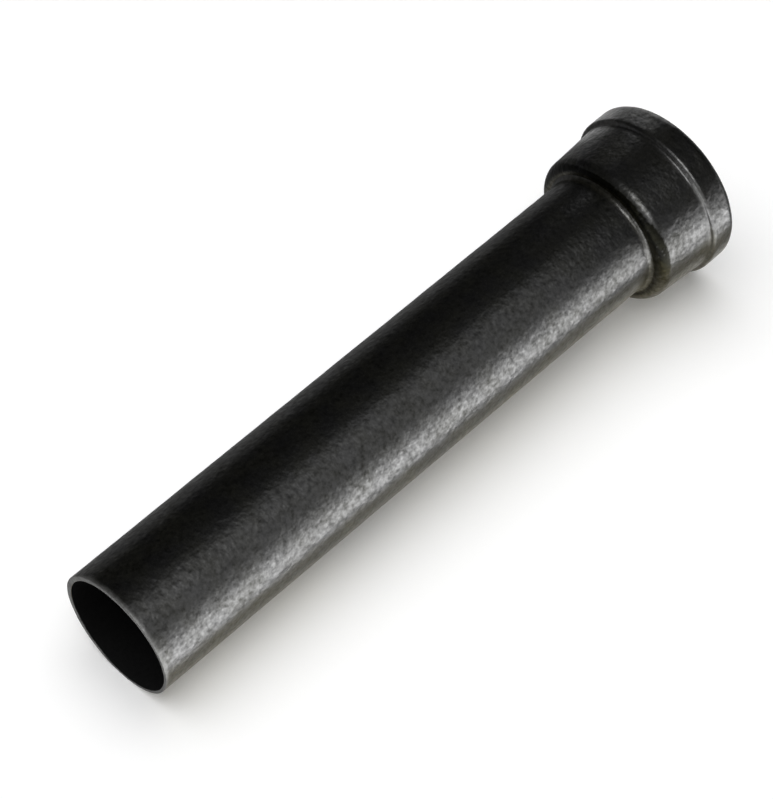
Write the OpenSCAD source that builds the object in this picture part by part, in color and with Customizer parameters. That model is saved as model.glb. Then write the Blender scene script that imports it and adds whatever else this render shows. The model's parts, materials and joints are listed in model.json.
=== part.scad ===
// Cast iron soil pipe, spigot and socket pattern, in millimetres.
//
// One casting: a plain barrel that ends in a spigot, and at its other end a socket with
// a round shoulder, a slightly tapered body and a thick bead round its mouth. The next
// pipe's spigot stands on the seat in the socket, and packing fills the gap round it.
//
// The pipe lies on a level floor at z = 0 with its socket towards +X. It touches the
// floor with the rim of its spigot and the foot of its bead, so its axis climbs a little.

/* [Barrel] */
// Overall length, from the end of the spigot to the mouth of the socket
length = 610; // [300:1:1830]
// Diameter of the bore
bore_d = 100; // [75:1:110]
// Thickness of the barrel's wall
wall = 4; // [3.5:0.1:7]
// Rounding of the spigot's outer edge
spigot_round = 1.5; // [0.5:0.1:2]
// Rounding of the bore's edge in the spigot
spigot_break = 0.6; // [0.2:0.1:1]

/* [Socket] */
// Gap round a spigot in the socket, for the packing
packing_gap = 8.5; // [7:0.1:12]
// Depth of the socket, from its mouth to its seat
socket_depth = 75; // [60:1:100]
// Thickness of the casting under the seat
seat_wall = 5.5; // [4:0.1:8]
// Thickness of the socket's wall at the shoulder
shoulder_wall = 5.5; // [4:0.1:7]
// Thickness of the socket's wall where its body meets the bead
body_wall = 8.2; // [7:0.1:9.5]
// Rounding of the shoulder's crest
crest_round = 8; // [4:0.1:10]
// Hollow fillet where the shoulder leaves the barrel
shoulder_fillet = 4; // [1:0.1:12]
// Rounding inside the socket, between its wall and its seat
seat_round = 7; // [2:0.1:7.5]
// Rounding of the bore's edge at the seat
seat_break = 1.5; // [0.5:0.1:2]

/* [Bead] */
// Width of the bead round the mouth
bead_w = 27.5; // [18:0.1:36]
// Thickness of the wall through the bead
bead_wall = 12; // [11.5:0.1:16]
// Rounding of the bead's foot
foot_round = 3.5; // [1:0.1:6]
// Hollow fillet between the body and the bead's foot
foot_fillet = 1.2; // [0.5:0.1:3]
// Rounding of the mouth's outer edge
mouth_round = 8; // [2:0.1:8]
// Rounding of the mouth's inner edge
mouth_break = 2; // [0.5:0.1:3]
// Distance from the mouth to the middle of the lead groove
groove_at = 14; // [10:0.1:20]
// Width of the lead groove
groove_w = 9; // [5:0.1:12]
// Depth of the lead groove
groove_depth = 2.5; // [1:0.1:3.5]

/* [Hidden] */
$fn = 180;

// Radii
bore_r = bore_d / 2;
barrel_r = bore_r + wall;
socket_r = barrel_r + packing_gap;
shoulder_r = socket_r + shoulder_wall;
bead_r = socket_r + bead_wall;

// Heights along the axis, from the end of the spigot
seat_z = length - socket_depth;
shoulder_z = seat_z - seat_wall;
bead_z = length - bead_w;

// Centres of the section's round edges, as [radius, height]
spigot_edge = [barrel_r - spigot_round, spigot_round];
crest = [shoulder_r - crest_round, shoulder_z + crest_round];
foot = [bead_r - foot_round, bead_z + foot_round];
mouth_edge = [bead_r - mouth_round, length - mouth_round];

// The lead groove's section is part of a circle, through its width and its depth
groove_round = (groove_w * groove_w / 4 + groove_depth * groove_depth) / (2 * groove_depth);
groove = [socket_r + groove_depth - groove_round, length - groove_at];

// Directions in the section for a side that widens by this angle: along it, and out of it
function along(taper) = [sin(taper), cos(taper)];
function outward(taper) = [cos(taper), -sin(taper)];

// Angle of a straight side that passes one centre at one distance and another at another
function side_angle(from, from_round, to, to_round) =
    let (step = to - from)
    atan2(step[0], step[1]) + asin((to_round - from_round) / norm(step));

// How far a straight side or a fillet dips into the round edge that it meets, so that the
// two cross instead of only touching
lap = 0.005;

// The edge's centre, brought down to the height of the fillet's own centre where a flat
// face stands between the side and the edge
function fillet_tip(start, taper, edge, fillet) =
    edge - max((edge - start) * outward(taper) - fillet + lap, 0) * outward(taper);

// Centre of the hollow fillet that fills the corner between a straight side and the face or
// round edge that stands out of it
function fillet_centre(start, taper, edge, edge_round, fillet) =
    let (
        tip = fillet_tip(start, taper, edge, fillet) - start,
        height = fillet - lap,
        span = edge_round + fillet - lap,
        rise = tip * outward(taper) - height
    )
    start + (tip * along(taper) - sqrt(span * span - rise * rise)) * along(taper)
        + height * outward(taper);

// The body's straight side leaves the crest's circle and runs up to the bead
body_end = [socket_r + body_wall, bead_z];
body_taper = side_angle(crest, crest_round - lap, body_end, 0);
body_start = crest + (crest_round - lap) * outward(body_taper);

// How the pipe lies: the floor touches the spigot's edge and the bead's foot
lie_tilt = side_angle(spigot_edge, spigot_round, foot, foot_round);
spigot_up = spigot_edge[0] * cos(lie_tilt) + spigot_round * (1 - sin(lie_tilt));
low_x = spigot_round * (cos(lie_tilt) - 1) - spigot_edge[0] * sin(lie_tilt);
high_x = mouth_edge[1] * cos(lie_tilt) + mouth_edge[0] * sin(lie_tilt) + mouth_round;
spigot_x = -(low_x + high_x) / 2;

// Small overshoot that lets a cut run clear of the face it opens
clear = 1;

// Fills the corner between a side and the face or round edge that stands out of it, and
// hollows it to the fillet's circle
module hollow_fillet(start, taper, edge, edge_round, fillet) {
    tip = fillet_tip(start, taper, edge, fillet);
    centre = fillet_centre(start, taper, edge, edge_round, fillet);
    depth = (fillet + wall / 2) * outward(taper);
    difference() {
        polygon([centre - depth, centre, tip, tip - depth]);
        translate(centre)
            circle(r = fillet);
    }
}

// A block of the section from the axis outwards, between two heights
module block(r, z_low, z_high) {
    translate([0, z_low])
        square([r, z_high - z_low]);
}

// What is cut away to round an outer corner: the corner beyond a circle, up or down
module corner_waste(centre, round, up) {
    translate(centre)
        difference() {
            translate([0, up ? 0 : -round - clear])
                square(round + clear);
            circle(r = round);
        }
}

// The barrel, up to the middle of the shoulder's crest
module barrel_section() {
    difference() {
        block(barrel_r, 0, crest[1]);
        corner_waste(spigot_edge, spigot_round, false);
    }
}

// The socket's shoulder and body, up to inside the bead
module body_section() {
    block(crest[0], shoulder_z, foot[1]);
    translate(crest)
        circle(r = crest_round);
    polygon([crest, body_start, body_end, [body_end[0], foot[1]], [crest[0], foot[1]]]);
}

// The thick bead round the mouth
module bead_section() {
    difference() {
        block(bead_r, bead_z, length);
        corner_waste(foot, foot_round, false);
        corner_waste(mouth_edge, mouth_round, true);
    }
}

// The outside of the whole casting
module outer_section() {
    barrel_section();
    hollow_fillet([barrel_r, 0], 0, crest, crest_round, shoulder_fillet);
    body_section();
    hollow_fillet(body_start, body_taper, foot, foot_round, foot_fillet);
    bead_section();
}

// A straight hole about the axis, with the edge of one end eased by a rounding
module hole_section(r, z_low, z_high, ease, eased_z, up) {
    block(r, z_low, z_high);
    difference() {
        block(r + ease, up ? eased_z - ease : z_low, up ? z_high : eased_z + ease);
        translate([r + ease, up ? eased_z - ease : eased_z + ease])
            circle(r = ease);
    }
}

// The bore, from the spigot to the seat, with both of its edges eased
module bore_section() {
    hole_section(bore_r, -clear, seat_z, spigot_break, 0, false);
    hole_section(bore_r, 0, seat_z + clear, seat_break, seat_z, true);
}

// The socket's chamber, with its round corner, its lead groove and its eased mouth
module chamber_section() {
    difference() {
        hole_section(socket_r, seat_z, length + clear, mouth_break, length, true);
        corner_waste([socket_r - seat_round, seat_z + seat_round], seat_round, false);
    }
    translate(groove)
        circle(r = groove_round);
}

// Half of the casting's section, to the right of its axis
module pipe_section() {
    difference() {
        outer_section();
        bore_section();
        chamber_section();
    }
}

// The casting, lying on the floor
module soil_pipe() {
    color("#1b1b1a")
        translate([spigot_x, 0, spigot_up])
            rotate([0, 90 - lie_tilt, 0])
                rotate_extrude()
                    pipe_section();
}

soil_pipe();
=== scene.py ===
# %% [markdown]
# # A cast iron soil pipe
#
# The real thing is one casting: a straight barrel with a plain spigot end, and a socket with
# a round shoulder and a thick bead round its mouth. It was dipped in black coating while it
# was hot, so it is nearly black, and what the eye reads is gloss broken up by cast grain.
#
# The exact solid already has the right sizes, but it is perfectly smooth. Here the same
# section is spun again as a dense mesh, so that the skin can carry the shallow waves that a
# mould leaves, and it gets a coating with grain, open pores, dust and a worn end, with painted
# shade on the back of the shoulder and a painted brown reflection on the underside.

import json
import math

import bpy
from mathutils import Matrix, Vector, noise


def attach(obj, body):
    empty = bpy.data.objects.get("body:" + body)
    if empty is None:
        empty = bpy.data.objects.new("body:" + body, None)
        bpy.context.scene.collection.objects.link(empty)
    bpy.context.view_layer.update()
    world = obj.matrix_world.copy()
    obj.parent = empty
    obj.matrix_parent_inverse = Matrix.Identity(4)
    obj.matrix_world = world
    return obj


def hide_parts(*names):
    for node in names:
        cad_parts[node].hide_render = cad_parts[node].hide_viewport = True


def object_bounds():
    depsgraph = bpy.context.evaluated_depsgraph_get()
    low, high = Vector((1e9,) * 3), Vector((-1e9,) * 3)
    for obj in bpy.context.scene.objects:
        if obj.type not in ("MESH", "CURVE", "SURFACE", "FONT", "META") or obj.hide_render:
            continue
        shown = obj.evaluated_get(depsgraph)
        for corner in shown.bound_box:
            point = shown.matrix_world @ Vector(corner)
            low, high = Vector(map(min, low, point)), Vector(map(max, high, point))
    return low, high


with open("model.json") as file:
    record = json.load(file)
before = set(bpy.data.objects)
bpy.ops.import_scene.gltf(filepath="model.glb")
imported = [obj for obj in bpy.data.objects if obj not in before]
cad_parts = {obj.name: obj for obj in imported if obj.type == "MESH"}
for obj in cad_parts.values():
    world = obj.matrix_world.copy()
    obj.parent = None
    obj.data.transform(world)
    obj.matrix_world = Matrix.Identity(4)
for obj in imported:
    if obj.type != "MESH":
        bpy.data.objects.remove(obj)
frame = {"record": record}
cad_low, cad_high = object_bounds()
print("CAD box", tuple(cad_low), tuple(cad_high))

# %% [markdown]
# ## Where the pipe lies
#
# The pipe's axis isn't level: the bead is wider than the barrel, so the socket end stands
# higher. The line could be typed in again, but the record's mounts already give it, along
# with the radii of the barrel, the bore and the socket. Reading them keeps the dressed pipe
# on the solid, whatever becomes of the sizes.

# %%  Axis, lengths and radii from the mounts
mounts = {mount["name"]: mount for mount in frame["record"]["mounts"]}


def mount_point(name):
    """Where a mount is, in metres."""
    return Vector(mounts[name]["pos_m"])


def mount_radius(name):
    """A mount's radius in metres. The record keeps it in millimetres."""
    return mounts[name]["dims"]["r_mm"] / 1000


axis = Vector(mounts["socket"]["axis"]).normalized()


def along_pipe(point):
    """How far a point is along the axis, from the middle of the socket."""
    return (point - mount_point("socket")).dot(axis)


spigot_end = mount_point("socket") + axis * along_pipe(mount_point("spigot_face"))
across = Vector((0, 1, 0))
over = axis.cross(across).normalized()

length = along_pipe(mount_point("mouth_face")) - along_pipe(mount_point("spigot_face"))
seat_z = along_pipe(mount_point("socket_seat")) - along_pipe(mount_point("spigot_face"))
barrel_r = mount_radius("spigot")
bore_r = mount_radius("barrel_bore")
socket_r = mount_radius("socket")
bead_r = (cad_high.y - cad_low.y) / 2
print(f"length {length:.4f}, seat at {seat_z:.4f}, bead radius {bead_r:.5f}")

# %% [markdown]
# ## The section
#
# A foundry would cut this outline into a strickle board and sweep it round. The mesh is made
# in the same way: a closed line of points runs up the outside, round the mouth, down the
# inside of the socket and back along the bore, and it is then spun about the axis. A curve
# object with a bevel would be shorter to write, but it can't change its radius so sharply.
#
# The sizes are the exact solid's, but for four roundings. Coating runs off a crest and
# gathers in a hollow, so the shoulder's crest and the hollow at the bead's foot are a little
# softer here. The hollow under the shoulder is a little tighter, and the cut edge of the
# spigot is nearly sharp. All of it stays inside the solid's box.
#
# Each point is a pair: how far along the axis it is, and how far from it.

# %%  Sizes of the roundings, in metres
spigot_round = 0.0006
spigot_break = 0.0006
shoulder_fillet = 0.0035
crest_round = 0.0095
shoulder_wall = 0.0055
seat_wall = 0.0055
body_wall = 0.0082
bead_width = 0.0275
foot_fillet = 0.0020
foot_round = 0.0035
mouth_round = 0.008
mouth_break = 0.002
groove_at = 0.014
groove_width = 0.009
groove_depth = 0.0025
seat_round = 0.007
seat_break = 0.0015
print(f"the bead is {bead_width:.4f} wide, the crest's rounding {crest_round:.4f}")

# %%  Points along a side and round an edge


def side_points(start, end, step):
    """Evenly spaced points along a straight side, without its last one."""
    count = max(1, round(math.dist(start, end) / step))
    return [Vector(start).lerp(Vector(end), i / count) for i in range(count)]


def edge_points(centre, radius, first, last, step):
    """Points round an edge, without the last one. 0 degrees faces the mouth, 90 outwards."""
    count = max(2, round(abs(math.radians(last - first)) * radius / step))
    turns = [math.radians(first + (last - first) * i / count) for i in range(count)]
    return [Vector(centre) + radius * Vector((math.cos(a), math.sin(a))) for a in turns]


# %%  The outside: spigot, barrel and shoulder
outer_step = 0.0019
inner_step = 0.006
edge_step = 0.0009

shoulder_z = seat_z - seat_wall
shoulder_r = socket_r + shoulder_wall
fillet_z = shoulder_z - shoulder_fillet
fillet_r = barrel_r + shoulder_fillet
spigot_edge = Vector((spigot_round, barrel_r - spigot_round))
crest = Vector((shoulder_z + crest_round, shoulder_r - crest_round))

section = edge_points(spigot_edge, spigot_round, 180, 90, edge_step / 2)
section += side_points((spigot_round, barrel_r), (fillet_z, barrel_r), outer_step)
hollow_start = len(section)
section += edge_points((fillet_z, fillet_r), shoulder_fillet, 270, 360, edge_step)
shoulder_start = len(section)
section += side_points((shoulder_z, fillet_r), (shoulder_z, crest.y), edge_step)
crest_start = len(section)
print(f"{crest_start} points up to the shoulder's crest")

# %%  The outside: body and bead
body_end = Vector((length - bead_width, socket_r + body_wall))
body_rise = body_end - crest
taper = math.atan2(body_rise.y, body_rise.x) - math.asin(crest_round / body_rise.length)
up_body = Vector((math.cos(taper), math.sin(taper)))
out_of_body = Vector((-math.sin(taper), math.cos(taper)))
body_start = crest + crest_round * out_of_body

foot = Vector((length - bead_width + foot_round, bead_r - foot_round))
reach = foot - body_start
rise = reach.dot(out_of_body) - foot_fillet
run = reach.dot(up_body) - math.sqrt((foot_round + foot_fillet) ** 2 - rise**2)
foot_hollow = body_start + run * up_body + foot_fillet * out_of_body
foot_angle = math.degrees(math.atan2(foot_hollow.y - foot.y, foot_hollow.x - foot.x))
lean = math.degrees(taper)

section += edge_points(crest, crest_round, 180, 90 + lean, edge_step)
shoulder_end = len(section)
section += side_points(body_start, foot_hollow - foot_fillet * out_of_body, outer_step)
foot_start = len(section)
section += edge_points(foot_hollow, foot_fillet, 270 + lean, foot_angle + 180, edge_step / 2)
section += edge_points(foot, foot_round, foot_angle, 90, edge_step)
foot_end = len(section)
mouth_edge = Vector((length - mouth_round, bead_r - mouth_round))
section += side_points((foot.x, bead_r), (mouth_edge.x, bead_r), outer_step)
section += edge_points(mouth_edge, mouth_round, 90, 0, edge_step)
outside_count = len(section)
print(f"body leans {lean:.2f} degrees, {outside_count} points outside")

# %%  The inside: mouth, lead groove, seat and bore
groove_round = (groove_width**2 / 4 + groove_depth**2) / (2 * groove_depth)
groove = Vector((length - groove_at, socket_r + groove_depth - groove_round))
groove_angle = math.degrees(math.atan2(socket_r - groove.y, groove_width / 2))
groove_near = (groove.x + groove_width / 2, socket_r)
groove_far = (groove.x - groove_width / 2, socket_r)
lip = Vector((length - mouth_break, socket_r + mouth_break))
corner = Vector((seat_z + seat_round, socket_r - seat_round))
seat_edge = Vector((seat_z - seat_break, bore_r + seat_break))
bore_edge = Vector((spigot_break, bore_r + spigot_break))

section += side_points((length, mouth_edge.y), (length, lip.y), edge_step)
section += edge_points(lip, mouth_break, 0, -90, edge_step)
inside_start = len(section)
section += side_points((lip.x, socket_r), groove_near, outer_step)
section += edge_points(groove, groove_round, groove_angle, 180 - groove_angle, edge_step)
section += side_points(groove_far, (corner.x, socket_r), inner_step / 2)
section += edge_points(corner, seat_round, 90, 180, edge_step * 2)
section += side_points((seat_z, corner.y), (seat_z, seat_edge.y), outer_step)
section += edge_points(seat_edge, seat_break, 0, -90, edge_step)
bore_start = len(section)
section += side_points((seat_edge.x, bore_r), (bore_edge.x, bore_r), inner_step)
bore_end = len(section)
section += edge_points(bore_edge, spigot_break, 270, 180, edge_step / 3)
section += side_points((0, bore_edge.y), (0, spigot_edge.y), edge_step)
print(f"{len(section)} points in the whole section")

# %% [markdown]
# ## The skin of the casting
#
# A cast barrel is never quite true. Its skin has shallow swellings as wide as a thumb, and
# still shallower ones as long as a hand, and they are what breaks the long highlight into
# soft clouds. They could be a bump in the material, but then the outline would stay ruler
# straight, so they are cut into the mesh. Each swelling only goes down into the metal: the
# skin never stands proud of the exact solid.

# %%  How deep the skin is at a point
cloud_size = 0.011
cloud_depth = 0.00026
swell_size = 0.060
swell_depth = 0.00020
swell_shift = Vector((7, 3, 5))


def skin_depth(point):
    """How far the skin lies below the exact solid."""
    cloud = 0.5 - 0.5 * noise.noise(point / cloud_size)
    swell = 0.5 - 0.5 * noise.noise(point / swell_size + swell_shift)
    return max(0.0, cloud) * cloud_depth + max(0.0, swell) * swell_depth


print(f"the skin is at most {cloud_depth + swell_depth:.5f} deep")

# %% [markdown]
# ## Spinning the section
#
# Two slips of the foundry show in the ring at the spigot. The core that made the bore had
# sunk to one side, so the ring is thinner there, and the end was cut a millimetre out of
# square. Cutting the bore again with a Boolean would show the first slip and a slicing plane
# the second, but both leave ragged triangles round the ring. Moving the points as they are
# spun keeps the mesh in clean rows: the bore's rows drift sideways, more the nearer they are
# to the spigot, and the end's rows slide along the axis.
#
# The section also knows which rows are the worn end, the back of the shoulder, the hollow
# under it and the foot of the bead. Each point carries those marks to the finish, which
# couldn't tell these places apart by their height or by the way that they face.

# %%  Slips and wear at the spigot
around = 180  # points in each row round the pipe
worn_reach = 0.0035  # how far from its end the pipe is rubbed
cut_reach = spigot_round * 1.01  # the rows up to here slide with the cut end
cut_skew = 0.0011  # how far they slide on the cut's low side
cut_side = across * -0.36 - over * 0.93
core_drift = 0.0010  # how far the bore is off centre at the spigot
core_side = across * -0.88 - over * 0.48


def facing(i):
    """The way the surface faces at a point of the section, as (along, outwards)."""
    step = section[(i + 1) % len(section)] - section[i - 1]
    return Vector((-step.y, step.x)).normalized()


def row_marks(i, z, r, face):
    """What the finish needs to know about a row of points."""
    at_end = r > bore_r + spigot_break / 2
    at_shoulder = shoulder_start <= i < shoulder_end
    return {
        "worn": max(0.0, 1 - z / worn_reach) if at_end else 0.0,
        "turned_back": max(0.0, -face.x) if at_shoulder else 0.0,
        "hollow": float(hollow_start <= i < crest_start),
        "foot": float(foot_start <= i < foot_end),
    }


print(f"the end is {cut_skew:.4f} out of square, the core {core_drift:.4f} off centre")

# %%  Spin the section
places = []
marks = {"worn": [], "turned_back": [], "hollow": [], "foot": []}
for i, (z, r) in enumerate(section):
    face = facing(i)
    for name, value in row_marks(i, z, r, face).items():
        marks[name] += [value] * around
    drift = core_drift * (1 - z / seat_z) if i >= inside_start and z < seat_z else 0.0
    for turn in range(around):
        angle = math.tau * turn / around
        outwards = across * math.cos(angle) + over * math.sin(angle)
        place = spigot_end + axis * z + outwards * r + core_side * drift
        if z < cut_reach:
            place -= axis * cut_skew * max(0.0, outwards.dot(cut_side))
        place -= (axis * face.x + outwards * face.y) * skin_depth(place)
        places.append(place)
print(f"{len(section)} rows of {around} points")

# %%  Join the points into a mesh
faces = []
for i in range(len(section)):
    here, there = i * around, (i + 1) % len(section) * around
    for turn in range(around):
        onward = (turn + 1) % around
        faces.append((here + turn, there + turn, there + onward, here + onward))

mesh = bpy.data.meshes.new("cast_pipe")
mesh.from_pydata(places, [], faces)
mesh.validate()
mesh.shade_smooth()
for name, values in marks.items():
    mesh.attributes.new(name, "FLOAT", "POINT").data.foreach_set("value", values)
cast_pipe = bpy.data.objects.new("cast_pipe", mesh)
bpy.context.collection.objects.link(cast_pipe)
print(f"{len(places)} points, {len(faces)} faces")

# %%  Which way the faces look
middle_face = mesh.polygons[outside_count // 2 * around]
to_face = middle_face.center - spigot_end
from_axis = to_face - axis * to_face.dot(axis)
if middle_face.normal.dot(from_axis) < 0:
    mesh.flip_normals()
    print("faces turned outwards")

# %% [markdown]
# ## Helpers for the finishes
#
# Each finish is a small tree of nodes. Wiring them by hand is long-winded, so a small class
# adds a node with its settings, and joins whatever it is given to the node's sockets.

# %%  Adding and joining nodes


class Finish:
    """A material that is put together node by node."""

    def __init__(self, name):
        self.material = bpy.data.materials.new(name)
        self.material.use_nodes = True
        self.tree = self.material.node_tree
        self.tree.nodes.clear()

    def give(self, socket, value):
        """Join a socket to another node's output, or set it to a plain value."""
        if isinstance(value, bpy.types.NodeSocket):
            self.tree.links.new(value, socket)
        else:
            socket.default_value = value

    def add(self, kind, settings=None, **inputs):
        """A new node with its settings, and whatever is joined to its inputs."""
        node = self.tree.nodes.new(kind)
        for name, value in (settings or {}).items():
            setattr(node, name, value)
        for name, value in inputs.items():
            self.give(node.inputs[name.replace("_", " ")], value)
        return node

    def noise(self, place, scale, detail=2.0, roughness=0.5):
        """Soft random clouds from 0 to 1. The scale is in clouds to the metre."""
        made = self.add(
            "ShaderNodeTexNoise", Vector=place, Scale=scale, Detail=detail, Roughness=roughness
        )
        return made.outputs["Fac"]

    def mark(self, name):
        """One of the marks that the mesh's points carry."""
        return self.add("ShaderNodeAttribute", {"attribute_name": name}).outputs["Fac"]

    def spread(self, value, low, high, to_low, to_high):
        """A value from low to high, stretched so that it runs from to_low to to_high."""
        made = self.add("ShaderNodeMapRange", Value=value)
        ends = {"From Min": low, "From Max": high, "To Min": to_low, "To Max": to_high}
        for name, end in ends.items():
            made.inputs[name].default_value = end
        return made.outputs["Result"]

    def share(self, value, most):
        """A mark from 0 to 1, scaled so that it runs from nothing to its most."""
        return self.spread(value, 0.0, 1.0, 0.0, most)

    def mix(self, amount, first, second):
        """The first colour, turned into the second by an amount."""
        made = self.add("ShaderNodeMix", {"data_type": "RGBA"})
        # The node has sockets of the same name for numbers too, so colours go by place.
        factor, first_colour, second_colour, mixed_colour = 0, 6, 7, 2
        self.give(made.inputs[factor], amount)
        self.give(made.inputs[first_colour], first)
        self.give(made.inputs[second_colour], second)
        return made.outputs[mixed_colour]

    def combine(self, operation, first, second):
        """Two values added, multiplied or compared, and kept between 0 and 1."""
        made = self.add("ShaderNodeMath", {"operation": operation, "use_clamp": True})
        self.give(made.inputs[0], first)
        self.give(made.inputs[1], second)
        return made.outputs[0]

    def bump(self, height, distance):
        """The surface tilted as if it had bumps, so many metres high."""
        made = self.add("ShaderNodeBump", Height=height, Distance=distance, Strength=1.0)
        return made.outputs["Normal"]

    def end_with(self, shader):
        """Join the shader to the material's output."""
        self.add("ShaderNodeOutputMaterial", Surface=shader)
        print(f"{self.material.name}: {len(self.tree.nodes)} nodes")


# %% [markdown]
# ## The black coating
#
# Drain pipe is dipped hot in a thin black varnish. The varnish mirrors the lamps, but it
# draws back from every pore of the skin and is thin in patches, and there the mirror is
# lost: the band of light along the barrel is full of dark specks a few millimetres apart.
# Roughness alone could tell varnish from pore, but it only widens the mirrored light. So one
# mask turns the shader from varnish, which mirrors light whatever its colour is, to dark
# metal, whose mirror is as black as its colour.
#
# The back of the shoulder, where it looks back along the barrel, loses most of its mirror on
# its lower side: that is painted shade. The foot of the bead is a little less pitted than the
# rest. The underside is browned in clouds, by dust together with a painted reflection of a
# brown floor, but less where the skin is open or in the painted shade. The ring at the spigot,
# where the pipe was cut and stood on end, is rubbed grey and dull.
#
# Two things tell the finish where it is: the marks that the mesh's points carry, from 0 to 1,
# and how far the surface faces upward, which is 1 on top, 0 on the flank and -1 underneath.

# %%  Coating: grain and marks
grain_scale = 225
pore_scale = 235
patch_scale = 52
cloud_scale = 14

coating = Finish("black_pipe_coating")
place = coating.add("ShaderNodeTexCoord").outputs["Object"]
grain = coating.noise(place, grain_scale, detail=1.5)
pores = coating.noise(place, pore_scale, detail=2.5, roughness=0.60)
patches = coating.noise(place, patch_scale, detail=2.0)
clouds = coating.noise(place, cloud_scale, detail=3.0)
normal = coating.add("ShaderNodeNewGeometry").outputs["Normal"]
upward = coating.add("ShaderNodeSeparateXYZ", Vector=normal).outputs["Z"]
rubbed, hollow_under, foot_edge = map(coating.mark, ("worn", "hollow", "foot"))
print("marks on the mesh:", ", ".join(marks))

# %% Coating: painted shade on the back of the shoulder
painted_shade_most = 0.75
painted_shade_underneath = 0.35

low_flank = coating.spread(upward, 0.62, 0.48, 0.0, 1.0)
near_floor = coating.spread(upward, -0.20, 0.08, painted_shade_underneath, 1.0)
back_face = coating.spread(coating.mark("turned_back"), 0.04, 0.30, 0.0, painted_shade_most)
# Painted shade: the lower back of the shoulder loses its mirror, and less of it underneath.
painted_shade = coating.combine("MULTIPLY", low_flank, near_floor)
painted_shade = coating.combine("MULTIPLY", painted_shade, back_face)
print(f"the back of the shoulder loses up to {painted_shade_most:.0%} of its mirror")

# %% Coating: where it is browner underneath, by dust and a painted reflection
brown_between_clouds = 0.55
brown_in_painted_shade = 0.25
brown_on_open_pores = 0.62

# Browner towards the underside: dust, together with a painted reflection of a brown floor.
dust_and_painted_reflection = coating.spread(upward, 0.15, -0.30, 0.0, 1.0)
for less_brown in (
    coating.spread(clouds, 0.35, 0.65, brown_between_clouds, 1.0),
    # less brown in the painted shade
    coating.spread(painted_shade, 0.0, 1.0, 1.0, brown_in_painted_shade),
    coating.spread(pores, 0.36, 0.64, 1.0, brown_on_open_pores),
):
    dust_and_painted_reflection = coating.combine("MULTIPLY", dust_and_painted_reflection, less_brown)
print(f"{len(coating.tree.nodes)} nodes so far")

# %%  Coating: colour
coat_black = (0.0028, 0.0028, 0.0027, 1)
coat_thin = (0.0056, 0.0055, 0.0038, 1)
# This brown is dust, and on the underside it is also a painted reflection of a brown floor.
dust_and_reflection_brown = (0.128, 0.112, 0.056, 1)
bare_iron = (0.074, 0.074, 0.071, 1)
hollow_dust = 0.03

thinned = coating.spread(patches, 0.35, 0.65, 0.0, 1.0)
in_hollow = coating.share(hollow_under, hollow_dust)
colour = coating.mix(thinned, coat_black, coat_thin)
colour = coating.mix(in_hollow, colour, dust_and_reflection_brown)
# The underside's brown: dust and a painted reflection.
colour = coating.mix(dust_and_painted_reflection, colour, dust_and_reflection_brown)
colour = coating.mix(rubbed, colour, bare_iron)
print("the coating's black is", coat_black[:3])

# %%  Coating: where the mirror is lost
bare_where_thin = 0.16
bare_on_closed_skin = 0.04
bare_in_open_pores = 0.70
pits_left_at_foot = 0.6

thin_coat = coating.spread(patches, 0.32, 0.68, 0.0, bare_where_thin)
open_pore = coating.spread(pores, 0.30, 0.72, bare_on_closed_skin, bare_in_open_pores)
fewer_pits = coating.spread(foot_edge, 0.0, 1.0, 1.0, pits_left_at_foot)
mirror_lost = coating.combine("ADD", thin_coat, open_pore)
# The painted shade on the shoulder takes the mirror away, as the open pores do.
mirror_lost = coating.combine("ADD", mirror_lost, painted_shade)
mirror_lost = coating.combine("MULTIPLY", mirror_lost, fewer_pits)
print(f"an open pore loses {bare_in_open_pores:.0%} of its mirror")

# %%  Coating: roughness, bumps and shader
varnish_rough = 0.27
bare_rough = 0.40
foot_rougher = 0.05
rubbed_rougher = 0.20
varnish_ior = 1.6
grain_height = 0.00040

rough = coating.spread(mirror_lost, 0.0, bare_in_open_pores, varnish_rough, bare_rough)
rough = coating.combine("ADD", rough, coating.share(foot_edge, foot_rougher))
rough = coating.combine("ADD", rough, coating.share(rubbed, rubbed_rougher))
shader = coating.add(
    "ShaderNodeBsdfPrincipled",
    Base_Color=colour,
    Metallic=mirror_lost,
    Roughness=rough,
    IOR=varnish_ior,
    Normal=coating.bump(grain, grain_height),
)
coating.end_with(shader.outputs["BSDF"])

# %% [markdown]
# ## The bore
#
# The inside of the barrel gets the same dip, but it is rougher, and after some months in the
# yard it is dull. It is a finish of its own so that its lack of gloss doesn't depend on how
# deep the eye looks into it. The socket keeps the glossy coating inside as well, so that its
# seat shows.

# %%  Bore finish
bore_scale = 260
bore_height = 0.0003
bore_black = (0.0060, 0.0060, 0.0062, 1)
bore_grey = (0.0100, 0.0100, 0.0100, 1)
bore_ior = 1.06  # barely bends light, so it mirrors next to nothing

bore_finish = Finish("dull_bore_black")
place = bore_finish.add("ShaderNodeTexCoord").outputs["Object"]
bore_grain = bore_finish.noise(place, bore_scale, detail=3)
shader = bore_finish.add(
    "ShaderNodeBsdfPrincipled",
    Base_Color=bore_finish.mix(bore_grain, bore_black, bore_grey),
    Roughness=1.0,
    IOR=bore_ior,
    Normal=bore_finish.bump(bore_grain, bore_height),
)
bore_finish.end_with(shader.outputs["BSDF"])

# %% [markdown]
# ## Dressing the pipe
#
# The finishes could be split over two objects, but then the bore and the coating would meet
# in a seam. One mesh can hold both: the faces in the bore's rows take the second finish and
# all the others the first. The pipe then rides on the frame's only body and stands in for the
# exact solid.

# %%  Hand the finishes to the mesh
mesh.materials.append(coating.material)
mesh.materials.append(bore_finish.material)
inside = [int(bore_start <= i // around < bore_end) for i in range(len(faces))]
mesh.polygons.foreach_set("material_index", inside)
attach(cast_pipe, "root")
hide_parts("soil_pipe")
print(f"{sum(inside)} faces have the bore's finish")

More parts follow.
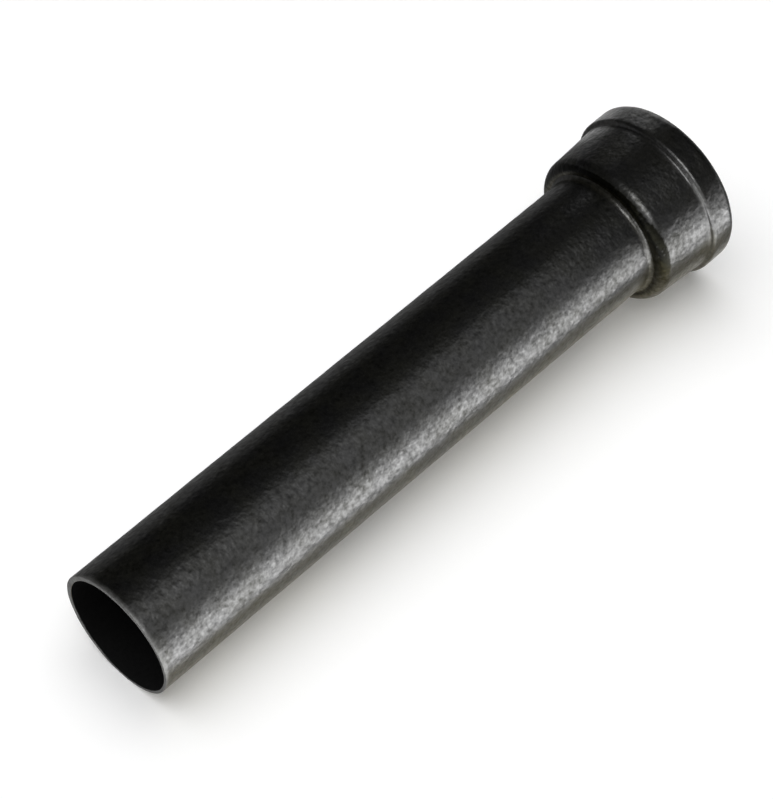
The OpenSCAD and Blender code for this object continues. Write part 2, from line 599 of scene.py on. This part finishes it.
# %% [markdown]
# ## The floor
#
# A plain pale floor, large enough to fill every view. It is a diffuse white that the lamps
# light to a little under white, and what the camera and the gloss see is lifted by the
# missing bit, so that the open floor is white and the pipe's own shadow stays on it. It lies
# a hair under the pipe, so that the two never share a plane.

# %%  Floor
floor_reach = 40.0
floor_z = -0.0002
floor_lift = 0.16
floor_white = (0.9, 0.9, 0.9, 1)


def plain_sheet(name, low, high):
    """A flat rectangle between two opposite corners."""
    between = [(high[0], low[1], low[2]), (low[0], high[1], high[2])]
    sheet_mesh = bpy.data.meshes.new(name)
    sheet_mesh.from_pydata([low, between[0], high, between[1]], [], [(0, 1, 2, 3)])
    sheet = bpy.data.objects.new(name, sheet_mesh)
    bpy.context.collection.objects.link(sheet)
    return sheet


floor = plain_sheet(
    "floor", (-floor_reach, -floor_reach, floor_z), (floor_reach, floor_reach, floor_z)
)
paper = Finish("pale_floor")
rays = paper.add("ShaderNodeLightPath").outputs
seen = paper.combine("MAXIMUM", rays["Is Camera Ray"], rays["Is Glossy Ray"])
seen = paper.combine("MAXIMUM", seen, rays["Is Transmission Ray"])
shader = paper.add(
    "ShaderNodeBsdfPrincipled",
    Base_Color=floor_white,
    Roughness=1.0,
    IOR=1.0,
    Emission_Color=(1, 1, 1, 1),
    Emission_Strength=paper.combine("MULTIPLY", seen, floor_lift),
)
paper.end_with(shader.outputs["BSDF"])
floor.data.materials.append(paper.material)

# %% [markdown]
# ## Light
#
# Black gloss shows its lamps rather than its colour, so the lamps are placed by what they
# draw on the pipe. One large softbox would be simpler, but it would grey a whole side. Two
# lamps are far off and broad: soft_top lights the floor and the browned underside and casts
# the shadow, but gloss doesn't see it, and spigot_lamp, which only gloss sees, draws the thin
# bright lines on the ring, the shoulder and the bead.
#
# The rest are glowing cards near the pipe. A long low strip in front draws the bright band
# along the barrel's near side, a card over it greys the rise above that band, one overhead
# greys the top, and one beyond the socket lights the far flank.

# %%  Far lamps


def new_lamp(name, kind, rotation, **settings):
    """A lamp that shines down its own Z axis, turned by a rotation."""
    data = bpy.data.lights.new(name, kind)
    for setting, value in settings.items():
        setattr(data, setting, value)
    lamp = bpy.data.objects.new(name, data)
    lamp.rotation_mode = "QUATERNION"
    lamp.rotation_quaternion = rotation
    bpy.context.collection.objects.link(lamp)
    return lamp


def far_lamp(name, direction, energy, degrees):
    """A lamp a long way off, which shines from a direction and is so many degrees wide."""
    rotation = Vector(direction).to_track_quat("Z", "Y")
    return new_lamp(name, "SUN", rotation, energy=energy, angle=math.radians(degrees))


soft_top = far_lamp("soft_top", (-0.10, 0.12, 0.98), energy=3.0, degrees=80)
soft_top.visible_glossy = False
spigot_lamp = far_lamp("spigot_lamp", (-0.25, -0.53, 0.81), energy=3.0, degrees=34)
spigot_lamp.visible_diffuse = False
print("far lamps:", soft_top.name, spigot_lamp.name)

# %%  A glowing card


def card(name, first_edge, second_edge, wide, radiance, lengthwise=(1, 0, 0)):
    """A glowing card that only gloss sees, between the middles of its two long edges."""
    first_edge, second_edge = Vector(first_edge), Vector(second_edge)
    lengthwise = Vector(lengthwise).normalized()
    upward = second_edge - first_edge
    tall = upward.length
    upward = (upward - lengthwise * upward.dot(lengthwise)).normalized()
    middle = (first_edge + second_edge) / 2
    if lengthwise.cross(upward).dot(middle) < 0:
        upward.negate()
    turned = Matrix((lengthwise, upward, lengthwise.cross(upward))).transposed()
    lamp = new_lamp(
        name,
        "AREA",
        turned.to_quaternion(),
        shape="RECTANGLE",
        size=wide,
        size_y=tall,
        energy=radiance * math.pi * wide * tall,
    )
    lamp.location = middle
    lamp.visible_camera = False
    lamp.visible_diffuse = False
    print(f"{name}: {wide:.2f} by {tall:.3f}")


# %%  The four cards
card(
    "low_strip",
    (-0.105, -0.1221, 0.0038),
    (-0.105, -0.1941, 0.0608),
    wide=1.03,
    radiance=8.6,
    lengthwise=(1, -0.075, 0.012),
)
card(
    "rise_card",
    (0, -0.250, 0.064),
    (0, -0.250, 0.126),
    wide=1.3,
    radiance=2.7,
    lengthwise=(1, 0, 0.02),
)
card("top_card", (-0.095, -0.282, 0.113), (-0.095, -0.070, 0.339), wide=0.71, radiance=0.95)
card("back_card", (0.60, 0.20, 0.14), (0.60, 0.20, 0.38), wide=0.40, radiance=1.6)

# %% [markdown]
# ## Grey flags
#
# A white floor would also shine from below in a glossy black pipe and wash out its lower
# half. A darker floor would cure that, but the floor has to stay white. In a studio, dark
# card called a flag is laid where the gloss would see the floor. These are such cards in flat
# greys: one stands behind the barrel, and three lie on the floor, before the barrel, before
# the socket and beyond the mouth. The camera doesn't see them and they cast no shadow, so the
# floor stays plain.

# %%  Flags
flag_z = 0.0004


def flag(name, low, high, radiance):
    """A plain grey card that only gloss sees, and that hides the floor behind it."""
    sheet = plain_sheet(name, low, high)
    grey = Finish(name + "_grey")
    glow = grey.add("ShaderNodeEmission", Color=(1, 1, 1, 1), Strength=radiance)
    grey.end_with(glow.outputs["Emission"])
    sheet.data.materials.append(grey.material)
    sheet.visible_camera = False
    sheet.visible_diffuse = False
    sheet.visible_shadow = False
    sheet.visible_transmission = False


flag("back_flag", (-0.40, 0.125, 0.0), (0.305, 0.125, 0.125), radiance=0.26)
flag("front_flag", (-0.40, -0.17, flag_z), (0.20, -0.03, flag_z), radiance=0.42)
flag("socket_flag", (0.20, -0.20, flag_z), (0.46, -0.082, flag_z), radiance=0.12)
flag("mouth_flag", (0.47, -0.40, flag_z), (1.60, 0.30, flag_z), radiance=0.22)

# %% [markdown]
# ## The rest of the room
#
# A faint even light from all round keeps the side that no lamp reaches from going quite
# black. More lamps could do it, but each would draw a mark of its own in the gloss.

# %%  World
world_level = 0.03
world = bpy.data.worlds.new("studio")
world.use_nodes = True
background = world.node_tree.nodes["Background"].inputs
background["Color"].default_value = (1, 1, 1, 1)
background["Strength"].default_value = world_level
bpy.context.scene.world = world
bpy.context.scene.view_settings.view_transform = "Standard"
print("world level", world_level)

# %% [markdown]
# ## The camera
#
# It stands well back with a long lens, so that the far end of the pipe is only a little
# smaller than the near one, and looks down on the spigot from its open side. A short lens
# close by would show the same end, but it would splay the barrel.

# %%  Where the camera stands
camera_azimuth = math.radians(-45.483)
camera_elevation = math.radians(51.308)
camera_distance = 2.3189
aim_right = -0.01570
aim_up = -0.01007

back = Vector(
    (
        math.sin(camera_azimuth) * math.cos(camera_elevation),
        -math.cos(camera_azimuth) * math.cos(camera_elevation),
        math.sin(camera_elevation),
    )
)
right = Vector((0, 0, 1)).cross(back).normalized()
up = back.cross(right)
centre = (cad_low + cad_high) / 2
aim = centre + right * aim_right + up * aim_up
print("camera looks at", tuple(aim))

# %%  Camera
focal_length = 135.17
camera_data = bpy.data.cameras.new("camera")
camera_data.lens = focal_length
camera_data.sensor_width = 36
camera_data.clip_start = 0.05
camera_data.clip_end = 200
camera = bpy.data.objects.new("camera", camera_data)
camera.rotation_mode = "QUATERNION"
camera.rotation_quaternion = back.to_track_quat("Z", "Y")
camera.location = aim + back * camera_distance
bpy.context.collection.objects.link(camera)
bpy.context.scene.camera = camera
print("camera at", tuple(camera.location))
